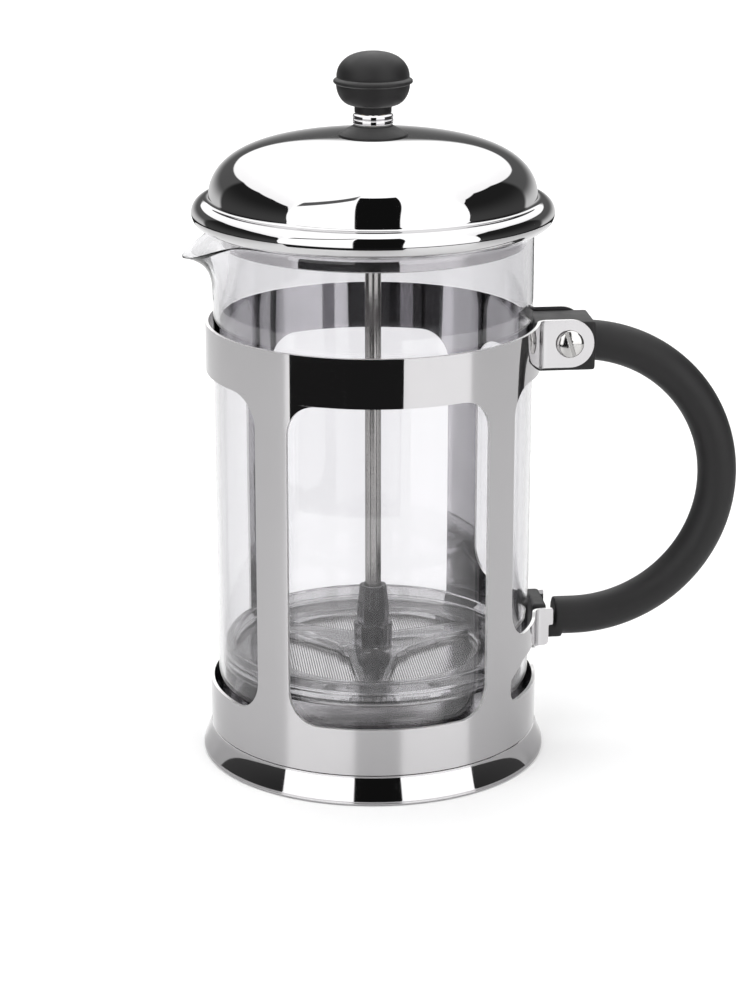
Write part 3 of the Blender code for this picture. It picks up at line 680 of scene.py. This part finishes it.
# =============================================================================================
# handle
# =============================================================================================
def handle():
    HCX, HCZ, HR = 64.2, 85.2, 45.2
    cu = bpy.data.curves.new("handle_moulding", "CURVE")
    cu.dimensions = "3D"
    cu.bevel_depth = 6.35 * MM
    cu.bevel_resolution = 14
    cu.use_fill_caps = True
    path = [(60.0, HCZ + HR), (63.0, HCZ + HR)] + arc(HCX, HCZ, HR, 89, -90, 90) + [(61.0, HCZ - HR), (57.7, HCZ - HR)]
    sp = cu.splines.new("POLY")
    sp.points.add(len(path) - 1)
    for p, (x, z) in zip(sp.points, path):
        p.co = (x * MM, 0.0, z * MM, 1.0)
        u = max(0.0, min(1.0, (130.0 - z) / 90.0))
        p.radius = 0.985 - 0.035 * u
    bow = bpy.data.objects.new("handle_moulding", cu)
    scene.collection.objects.link(bow)
    bow = evaluated(bow)
    weld(bow.data, 1e-6)
    outline = rounded([(46.0, 122.65, 0.0), (67.95, 122.65, 0.7), (67.95, 137.95, 0.7), (46.0, 137.95, 0.0)], 4)
    head = prism("head", [outline], -8.25, 8.25, edge=0.45, segments=3)
    head.data.transform(Matrix.Rotation(math.pi / 2, 4, "X"))
    weld(head.data, 1e-7)
    bow = boolean(bow, head, "UNION")
    bow = boolean(bow, block("neck", (52.0, -5.2, 34.2), (60.0, 5.2, 39.7), 0.8), "UNION")
    bow = boolean(bow, block("hook", (49.75, -8.2, 33.6), (54.2, 8.2, 46.6), 0.8), "UNION")
    bow = boolean(bow, drum("cut", GLASS_R + 0.5, 110, 150), "DIFFERENCE")
    bow = boolean(bow, drum("cut", GLASS_R + 1.0, 20, 60), "DIFFERENCE")
    bow = boolean(bow, drum("cut", 2.5, -20, 20, "Y", 48, (SCREW_X, 0, SCREW_Z)), "DIFFERENCE")
    r = bow.modifiers.new("r", "REMESH")
    r.mode = "VOXEL"
    r.voxel_size = 0.42 * MM
    r.use_smooth_shade = True
    s = bow.modifiers.new("s", "CORRECTIVE_SMOOTH")
    s.iterations = 5
    s.smooth_type = "LENGTH_WEIGHTED"
    s.use_only_smooth = True
    bow = evaluated(bow)
    bow.data.shade_smooth()
    to_world(bow.data)
    return bow


done(handle(), BLACK, "frame", "black_plastic", "handle_grip")


# =============================================================================================
# clamp screw, washer, nut (made on +Z, then laid along -Y)
# =============================================================================================
def lay_y(o, tilt=0.0):
    me = o.data
    me.transform(Matrix.Rotation(tilt, 4, "Z"))
    me.transform(Matrix.Rotation(math.pi / 2, 4, "X"))
    me.transform(Matrix.Translation(((AX + SCREW_X) * MM, 0, SCREW_Z * MM)))
    return o


low = EAR_Y + SLEEVE_T / 2 + 0.3
prof = [(0, low + 1.65), (0.8, low + 1.63), (1.6, low + 1.55), (2.4, low + 1.4), (3.1, low + 1.18), (3.7, low + 0.88), (4.1, low + 0.58),
        (4.26, low + 0.36), (4.3, low + 0.15), (4.22, low + 0.02), (4.05, low), (2.25, low), (2.02, low - 0.2)]
z = low - 0.6
while z > -13.2:                       # rolled thread on the free end, plain shank above it
    prof.append((1.97, z))
    if z < -5:
        prof.append((1.72, z - 0.35))
    z -= 0.7
prof += [(1.9, -13.4), (1.5, -14.2), (0, -14.25)]
screw = lathe("clamp_screw_finish", prof, 96, closed=False, axis_x=0.0, sharp=35)
screw = boolean(screw, block("slot", (-0.57, -6.0, low + 0.75), (0.57, 6.0, low + 3.0), 0.0), "DIFFERENCE")
bev = screw.modifiers.new("edge", "BEVEL")
bev.width = 0.07 * MM
bev.segments = 2
bev.limit_method = "ANGLE"
bev.angle_limit = math.radians(55)
screw = evaluated(screw)
screw.data.shade_smooth()
screw.data.set_sharp_from_angle(angle=math.radians(30))
screw.name = "clamp_screw_finish"
done(lay_y(screw, math.radians(19)), brushed_material("screw_steel", base=(0.60, 0.59, 0.58), rough=0.12, stretch=(350, 350, 350), depth=0.06),
     "clamp_screw", "plain_steel", "clamp_screw")

washer = lathe("clamp_washer_finish", rounded([(4.6, -9.92, 0.15), (4.6, -10.6, 0.25), (2.3, -10.6, 0.1), (2.3, -9.92, 0.1)], 4), 64, axis_x=0.0)
done(lay_y(washer), SATIN, "frame", "plain_steel", "clamp_washer")


def hexnut(name, flat_r, bore, z0, z1, cham):
    nut = prism(name, [circle(0, 0, flat_r, 6)], z0, z1)
    weld(nut.data)
    cone = lathe("cone", [(0, z1 + 0.01), (flat_r - cham, z1 + 0.01), (flat_r + cham, z1 - cham * 1.1), (flat_r + cham, z0 + cham * 1.1),
                          (flat_r - cham, z0 - 0.01), (0, z0 - 0.01)], 64, closed=False, axis_x=0.0)
    nut = boolean(nut, cone, "INTERSECT")
    nut = boolean(nut, drum("bore", bore, z0 - 1, z1 + 1, n=48), "DIFFERENCE")
    b = nut.modifiers.new("e", "BEVEL")
    b.width = 0.09 * MM
    b.segments = 2
    b.limit_method = "ANGLE"
    b.angle_limit = math.radians(40)
    nut = evaluated(nut)
    nut.name = name
    nut.data.shade_smooth()
    nut.data.set_sharp_from_angle(angle=math.radians(28))
    return nut


done(lay_y(hexnut("clamp_nut_finish", 4.28, 2.3, -13.9, -11.0, 0.45)), SATIN, "frame", "plain_steel", "clamp_nut")


# =============================================================================================
# lid
# =============================================================================================
DOME_R, DOME_FOOT, DOME_TOP = 49.9, 177.2, 194.9
BEAD_R, BEAD_T, BEAD_Z = 55.1, 3.9, 172.6


def dome():
    h = DOME_TOP - DOME_FOOT
    pts = [(4.1, DOME_TOP)]
    for i in range(0, 61):
        u = math.pi / 2 * (1 - i / 60)
        r = DOME_R * max(0.0, 1 - math.sin(u) ** 2.1) ** (1 / 3.6)
        if r < 5.0:
            continue
        pts.append((r, DOME_FOOT + h * math.sin(u)))
    cx = BEAD_R - BEAD_T
    top = arc(cx, BEAD_Z, BEAD_T, 96, -125, 40)
    # small fillet where the dome meets the bead
    pts = pts[:-1] + [(DOME_R, DOME_FOOT + 0.35), (DOME_R + 0.12, DOME_FOOT - 0.1), (DOME_R + 0.55, DOME_FOOT - 0.55)] + top[1:]
    # inner side, LID_T inside
    n = len(pts)
    inner = []
    for i in range(n):
        a = Vector(pts[max(0, i - 1)])
        c = Vector(pts[min(n - 1, i + 1)])
        d = (c - a).normalized()
        nrm = Vector((-d.y, d.x))          # to the right of the way down the outer side is inwards
        if nrm.x * 1.0 > 0 and i < n - 30:
            nrm = -nrm
        inner.append((pts[i][0], pts[i][1], d))
    back = []
    for r, z, d in inner:
        side = Vector((d.y, -d.x))
        back.append((max(4.1, r + side.x * 0.8), z + side.y * 0.8))
    return pts, back


pts, back = dome()
edge = pts[-1]
lid = lathe("lid_dome_finish", pts + list(reversed(back)), 224, sharp=60)
bm = bmesh.new()
bm.from_mesh(lid.data)
bmesh.ops.recalc_face_normals(bm, faces=bm.faces)
bm.to_mesh(lid.data)
bm.free()
done(lid, DOME_CHROME, "lid_shell", "frame_chrome", "lid_dome")

cup = rounded([(48.4, 170.35, 0.3), (48.4, 169.5, 0.2), (46.5, 169.3, 0.5), (46.5, 163.5, 0.35), (45.7, 163.5, 0.35), (45.65, 165.0, 0.2),
               (43.5, 165.6, 1.2), (4.1, 165.6, 0.1), (4.1, 166.4, 0.1), (43.5, 166.4, 1.2), (45.6, 167.0, 0.3), (45.7, 169.6, 0.4),
               (46.3, 170.35, 0.2)], 4)
done(lathe("lid_cup_finish", cup, 192), CHROME, "lid_shell", "frame_chrome", "lid_cup")

CZ = 195.2
collar = rounded([(5.9, CZ + 3.6, 0.25), (6.1, CZ + 3.2, 0.8), (7.6, CZ + 2.35, 3.0), (9.5, CZ + 1.35, 2.0), (10.45, CZ + 0.75, 0.3),
                  (10.6, CZ + 0.02, 0.12), (4.1, CZ + 0.02, 0.0), (4.1, CZ + 3.6, 0.0)], 6)
done(lathe("lid_collar_finish", collar, 128), BLACK, "lid_shell", "black_plastic", "lid_collar")

FZ = CZ + 3.9
fer = rounded([(6.15, FZ + 2.75, 0.45), (6.15, FZ + 1.55, 0.45), (5.6, FZ + 1.4, 0.12), (6.15, FZ + 1.25, 0.45), (6.15, FZ, 0.45),
               (4.1, FZ, 0.0), (4.1, FZ + 2.75, 0.0)], 5)
done(lathe("lid_ferrule_finish", fer, 96), CHROME, "lid_guide", "frame_chrome", "lid_ferrule")

bush = rounded([(3.7, FZ + 2.4, 0.2), (3.7, 167.7, 0.0), (6.4, 167.7, 0.25), (6.4, 166.75, 0.25), (3.7, 166.75, 0.0), (3.7, 161.6, 0.3),
                (2.8, 161.6, 0.2), (2.8, FZ + 2.4, 0.1)], 4)
done(lathe("lid_bush_finish", bush, 72), BRASS, "lid_guide", "brass_fitting", "lid_bush")
nut = hexnut("lid_nut_finish", 6.95, 4.05, 162.5, 165.3, 0.6)
to_world(nut.data)
done(nut, BRASS, "lid_guide", "brass_fitting", "lid_nut")


# =============================================================================================
# plunger
# =============================================================================================
rod = rounded([(0, 213.0, 0), (2.5, 213.0, 0.25), (2.5, 21.5, 0.4), (0, 21.5, 0)], 4, closed=False)
body = [rod[0]] + [p for p in rod[1:-1]] + [rod[-1]]
done(lathe("plunger_rod_finish", body, 64, closed=False), ROD, "plunger", "rod_steel", "plunger_rod")

K, NZ, TOP = 211.8, 202.2, 220.6
low = [(11.2, K + 0.78)] + arc(11.35, K, 0.62, 70, -75, 8) + [(11.1, K - 0.85)]
for i in range(0, 15):
    t = i / 14
    low.append((5.75 + (11.1 - 5.75) * math.cos(t * math.pi / 2) ** 0.85, K - 1.1 - 6.1 * math.sin(t * math.pi / 2) ** 1.15))
low += [(5.62, K - 7.5), (5.6, K - 8.1), (5.6, NZ + 0.35), (5.45, NZ + 0.08), (5.2, NZ), (2.8, NZ), (2.8, NZ + 2.0), (4.6, NZ + 2.0), (4.6, K + 0.72)]
done(lathe("knob_base_finish", low, 128), BLACK, "plunger", "black_plastic", "knob_base")
cap = [(0, TOP)]
for i in range(1, 25):
    t = i / 24
    cap.append((11.0 * math.sin(t * math.pi / 2) ** 0.82, K + 1.25 + (TOP - K - 1.25) * math.cos(t * math.pi / 2) ** 0.95))
cap += [(10.9, K + 1.08), (10.6, K + 1.02), (4.6, K + 1.02), (4.6, K + 2.9), (0, K + 2.9)]
done(lathe("knob_cap_finish", cap, 128, closed=False), BLACK, "plunger", "black_plastic", "knob_cap")
ins = rounded([(4.3, K + 0.6, 0.2), (4.3, NZ + 2.3, 0.2), (2.8, NZ + 2.3, 0.0), (2.8, K + 0.6, 0.0)], 3)
done(lathe("knob_insert_finish", ins, 96, shape=lambda r, a, z: (r - (0.12 * (1 + math.cos(24 * a)) if r > 4 else 0), z)), BRASS,
     "plunger", "brass_fitting", "knob_insert")


# the lid's top stands clear of the dark parts above it: they're kept out of its mirror finish
for o in scene.collection.objects:
    if o.name in ("lid_collar_finish", "lid_ferrule_finish", "knob_base_finish", "knob_cap_finish", "knob_insert_finish",
                  "lid_bush_finish", "plunger_rod_finish"):
        o.visible_glossy = False


# =============================================================================================
# filter stack
# =============================================================================================
def fluted(depth, count, r_min):
    def f(r, a, z):
        if r < r_min:
            return r, z
        c = 0.5 + 0.5 * math.cos(count * a)
        return r - depth * c ** 3, z
    return f


collet = rounded([(4.25, 52.8, 0.25), (4.95, 46.6, 0.4), (5.1, 45.6, 0.3), (5.1, 41.0, 0.2), (2.8, 41.0, 0.1), (2.8, 52.8, 0.15)], 4)
done(lathe("filter_collet_finish", collet, 144, shape=fluted(0.45, 8, 3.5)), HUB, "filter", "smoke_plastic", "filter_collet")
hub = rounded([(5.85, 40.6, 0.3), (6.15, 40.1, 0.25), (6.15, 33.3, 0.3), (2.8, 33.3, 0.1), (2.8, 40.6, 0.1)], 4)
done(lathe("filter_collar_finish", hub, 144, shape=fluted(0.3, 8, 4.5)), HUB, "filter", "smoke_plastic", "filter_collar")

FR, FZ0, MR, RT = 46.7, 31.4, 33.5, 36.8


def spider_opening(turn, n=28):
    third = 2 * math.pi / 3
    r0, r1, w0, w1 = 11.5, MR, 7.6, 4.0
    a0, a1 = math.asin(w0 / r0), third - math.asin(w0 / r0)
    b0, b1 = math.asin(w1 / r1), third - math.asin(w1 / r1)
    pts = [(r0 * math.cos(a0 + (a1 - a0) * i / 6), r0 * math.sin(a0 + (a1 - a0) * i / 6)) for i in range(7)]
    pts += [(r1 * math.cos(b1 + (b0 - b1) * i / n), r1 * math.sin(b1 + (b0 - b1) * i / n)) for i in range(n + 1)]
    c, s = math.cos(turn), math.sin(turn)
    return [(x * c - y * s, x * s + y * c) for x, y in pts]


spider = prism("filter_spider_finish", [circle(0, 0, FR, 160), circle(0, 0, 2.8, 48)] +
               [spider_opening(math.radians(-96.3 + 120 * k)) for k in range(3)], FZ0, FZ0 + 1.5, edge=0.35, segments=3)
to_world(spider.data)
done(spider, SMOKE, "filter", "smoke_plastic", "filter_spider")

rim = rounded([(FR, RT, 0.45), (FR, FZ0 + 1.85, 0.3), (FR - 3.4, FZ0 + 1.85, 0.3), (FR - 2.6, RT - 1.0, 0.8), (FR - 2.3, RT, 0.5)], 5)
done(lathe("filter_rim_finish", rim, 192), SMOKE, "filter", "smoke_plastic", "filter_rim")
gz = rounded([(44.6, 31.05, 0.2), (44.6, 30.5, 0.2), (2.8, 30.5, 0.05), (2.8, 31.05, 0.05)], 3)
done(lathe("filter_gauze", gz, 160), GAUZE, "filter", "filter_gauze", "filter_mesh")
done(lathe("filter_seal_finish", arc(45.85, 30.05, 0.93, 90, -270, 20)[:-1], 192), SMOKE, "filter", "smoke_plastic", "filter_seal")
holes = [circle(14.0 * math.cos(a), 14.0 * math.sin(a), 3.2, 32) for a in [2 * math.pi * k / 6 for k in range(6)]]
holes += [circle(31.0 * math.cos(a), 31.0 * math.sin(a), 4.2, 36) for a in [2 * math.pi * (k + 0.5) / 12 for k in range(12)]]
pl = prism("filter_plate_finish", [circle(0, 0, 43.8, 160), circle(0, 0, 2.8, 40)] + holes, 29.25, 30.15, edge=0.15, segments=2)
to_world(pl.data)
done(pl, SATIN, "filter", "plain_steel", "filter_plate")
fn = rounded([(6.0, 28.95, 0.3), (6.0, 22.6, 0.5), (5.2, 21.6, 0.3), (2.8, 21.6, 0.1), (2.8, 28.95, 0.1)], 4)
done(lathe("filter_nut_finish", fn, 144, shape=fluted(0.35, 12, 5.0)), HUB, "filter", "smoke_plastic", "filter_nut")


# =============================================================================================
# studio
# =============================================================================================
def plane(name, outline, z, mat):
    me = bpy.data.meshes.new(name)
    me.from_pydata([(x * MM, y * MM, z * MM) for x, y in outline], [], [tuple(range(len(outline)))])
    o = link(name, me)
    me.materials.append(mat)
    return o


def floor_material(name, tone, rough, specular):
    s = Nodes(name)
    v = s.noise(s.coords(), 3.0, 2.0, 0.5)
    s.link(s.mix(v, (tone,) * 3, (tone - 0.01,) * 3), s.b.inputs["Base Color"])
    s.b.inputs["Roughness"].default_value = rough
    s.b.inputs["Specular IOR Level"].default_value = specular
    return s.m


FLOOR = floor_material("pale_floor", 0.90, 0.9, 0.1)
FLOOR.node_tree.nodes["Principled BSDF"].inputs["Emission Color"].default_value = (1, 1, 1, 1)
FLOOR.node_tree.nodes["Principled BSDF"].inputs["Emission Strength"].default_value = 0.10
TABLE = floor_material("table_sheen", 0.78, 0.24, 1.0)
TABLE.node_tree.nodes["Principled BSDF"].inputs["IOR"].default_value = 1.75
floor = plane("floor", [(-9000, -9000), (9000, -9000), (9000, 9000), (-9000, 9000)], -0.12, FLOOR)
floor.visible_glossy = False
floor.visible_transmission = False

# the table top as polished metal sees it: it ends nearer on the camera's side, with the dark room past it
ring = []
for i in range(181):
    az = -180 + 2 * i
    r = 330.0 if -54 <= az <= 18 else 620.0
    w = math.radians(az) + 0.0
    x, y = math.sin(w), -math.cos(w)
    c, s_ = math.cos(-VIEW_TURN), math.sin(-VIEW_TURN)
    ring.append((AX + r * (x * c - y * s_), r * (x * s_ + y * c)))
table = plane("table_reflection", ring[:-1], -0.06, TABLE)
table.visible_camera = False
table.visible_diffuse = False
table.visible_shadow = False


def studio_world():
    w = bpy.data.worlds.new("studio")
    scene.world = w
    w.use_nodes = True
    t = w.node_tree
    t.nodes.clear()

    def n(kind, **kw):
        node = t.nodes.new(kind)
        for k, v in kw.items():
            setattr(node, k, v)
        return node

    def val(node, i, v):
        if isinstance(v, (int, float)):
            node.inputs[i].default_value = v
        else:
            t.links.new(v, node.inputs[i])

    def m(op, a, b=None, c=None):
        x = n("ShaderNodeMath", operation=op)
        for i, v in enumerate((a, b, c)):
            if v is not None:
                val(x, i, v)
        return x.outputs[0]

    def step(v, lo, hi):
        x = n("ShaderNodeMapRange", interpolation_type="SMOOTHSTEP")
        val(x, 0, v)
        x.inputs[1].default_value, x.inputs[2].default_value = lo, hi
        x.inputs[3].default_value, x.inputs[4].default_value = 0.0, 1.0
        return x.outputs[0]

    def lerp(f, a, b):
        return m("ADD", m("MULTIPLY", m("SUBTRACT", 1.0, f), a), m("MULTIPLY", f, b))

    tc = n("ShaderNodeTexCoord")
    mp = n("ShaderNodeMapping")
    mp.inputs["Rotation"].default_value = (0, 0, VIEW_TURN)
    t.links.new(tc.outputs["Generated"], mp.inputs["Vector"])
    sep = n("ShaderNodeSeparateXYZ")
    t.links.new(mp.outputs["Vector"], sep.inputs[0])
    x, y, z = sep.outputs
    az = m("MULTIPLY", m("ARCTAN2", x, m("MULTIPLY", y, -1.0)), 180 / math.pi)     # 0 to the camera, + to its right
    el = m("MULTIPLY", m("ARCSINE", m("MAXIMUM", m("MINIMUM", z, 0.9999), -0.9999)), 180 / math.pi)

    # lower edge of the overhead softbox, by direction
    curve = n("ShaderNodeFloatCurve")
    c = curve.mapping.curves[0]
    knots = [(-180, 10.5), (-165, 14), (-147, 23), (-130, 31), (-105, 35.5), (-85, 34), (-66, 28), (-62, 20), (-60.5, -20), (69, -20), (70.5, 20), (73, 31), (80, 38),
             (97, 42.5), (120, 38), (135, 30), (152, 21), (170, 14.5), (180, 10.5)]
    lo, hi = -20.0, 80.0
    while len(c.points) < len(knots):
        c.points.new(0.5, 0.5)
    for p, (a, e) in zip(c.points, knots):
        p.location = ((a + 180) / 360, (e - lo) / (hi - lo))
        p.handle_type = "VECTOR"
    curve.mapping.update()
    val(curve, 1, m("DIVIDE", m("ADD", az, 180.0), 360.0))
    edge = m("ADD", m("MULTIPLY", curve.outputs[0], hi - lo), lo)
    over = step(m("SUBTRACT", el, edge), -0.6, 0.6)

    # dark opening between the two front boxes, wider at its top, where the camera stands
    up = m("MAXIMUM", m("DIVIDE", el, 68.0), 0.0)
    up = m("MULTIPLY", up, up)
    left = m("SUBTRACT", az, m("SUBTRACT", -12.5, m("MULTIPLY", up, 5.0)))
    right = m("SUBTRACT", m("ADD", 18.5, m("MULTIPLY", up, 13.0)), az)
    slot = m("MULTIPLY", m("MULTIPLY", step(left, -0.4, 0.6), step(right, -0.4, 0.6)), step(el, 69.2, 68.0))
    over = m("MULTIPLY", over, m("SUBTRACT", 1.0, slot))
    # narrow gap between the left-hand box and the overhead one
    off = m("SUBTRACT", el, m("ADD", 37.0, m("MULTIPLY", m("ADD", az, 60.0), 0.775)))
    gap = m("MULTIPLY", step(m("ABSOLUTE", off), 7.0, 4.0), m("MULTIPLY", step(az, -61.0, -59.0), step(az, -18.0, -22.0)))
    over = m("MULTIPLY", over, m("SUBTRACT", 1.0, m("MULTIPLY", gap, 0.93)))

    # backdrop behind: pale low down, dark higher up
    behind = m("ABSOLUTE", az)
    back_zone = step(behind, 128.0, 134.0)
    back = lerp(step(el, -8.0, 10.5), 0.75, 0.12)
    side = m("ADD", 0.02, m("MULTIPLY", step(el, 25.0, -8.0), 0.05))
    side = lerp(step(m("ABSOLUTE", m("SUBTRACT", az, -1.0)), 17.0, 60.0), 0.008, side)
    dark = lerp(back_zone, side, back)

    soft = m("ADD", 1.5, m("MULTIPLY", step(m("SUBTRACT", el, edge), 0.0, 28.0), 0.35))
    light = lerp(over, dark, soft)
    # past the table's edge the room is dark
    below = step(el, -12.5, -10.5)
    light = lerp(below, 0.015, light)

    path = n("ShaderNodeLightPath")
    through = m("MULTIPLY", path.outputs["Is Transmission Ray"], step(behind, 118.0, 146.0))
    final = lerp(m("MAXIMUM", path.outputs["Is Camera Ray"], through), light, 1.0)
    comb = n("ShaderNodeCombineColor")
    for i in range(3):
        t.links.new(final, comb.inputs[i])
    bg = n("ShaderNodeBackground")
    t.links.new(comb.outputs[0], bg.inputs["Color"])
    out = n("ShaderNodeOutputWorld")
    t.links.new(bg.outputs[0], out.inputs[0])
    w.cycles.sampling_method = "MANUAL"
    w.cycles.sample_map_resolution = 1024


studio_world()

cam_data = bpy.data.cameras.new("camera")
cam_data.lens = 2816.4 * 36.0 / 1000.0
cam_data.sensor_width = 36.0
cam_data.clip_start = 0.05
cam_data.clip_end = 60.0
cam = bpy.data.objects.new("camera", cam_data)
scene.collection.objects.link(cam)
cam.location = ((AX - 91.74) * MM, -836.4 * MM, 343.5 * MM)
cam.rotation_euler = (math.radians(90 - 17.363), 0.0, -VIEW_TURN)
scene.camera = cam

scene.view_settings.view_transform = "Standard"
scene.view_settings.look = "None"
scene.cycles.max_bounces = 16
scene.cycles.transmission_bounces = 14
scene.cycles.glossy_bounces = 8
scene.cycles.transparent_max_bounces = 16
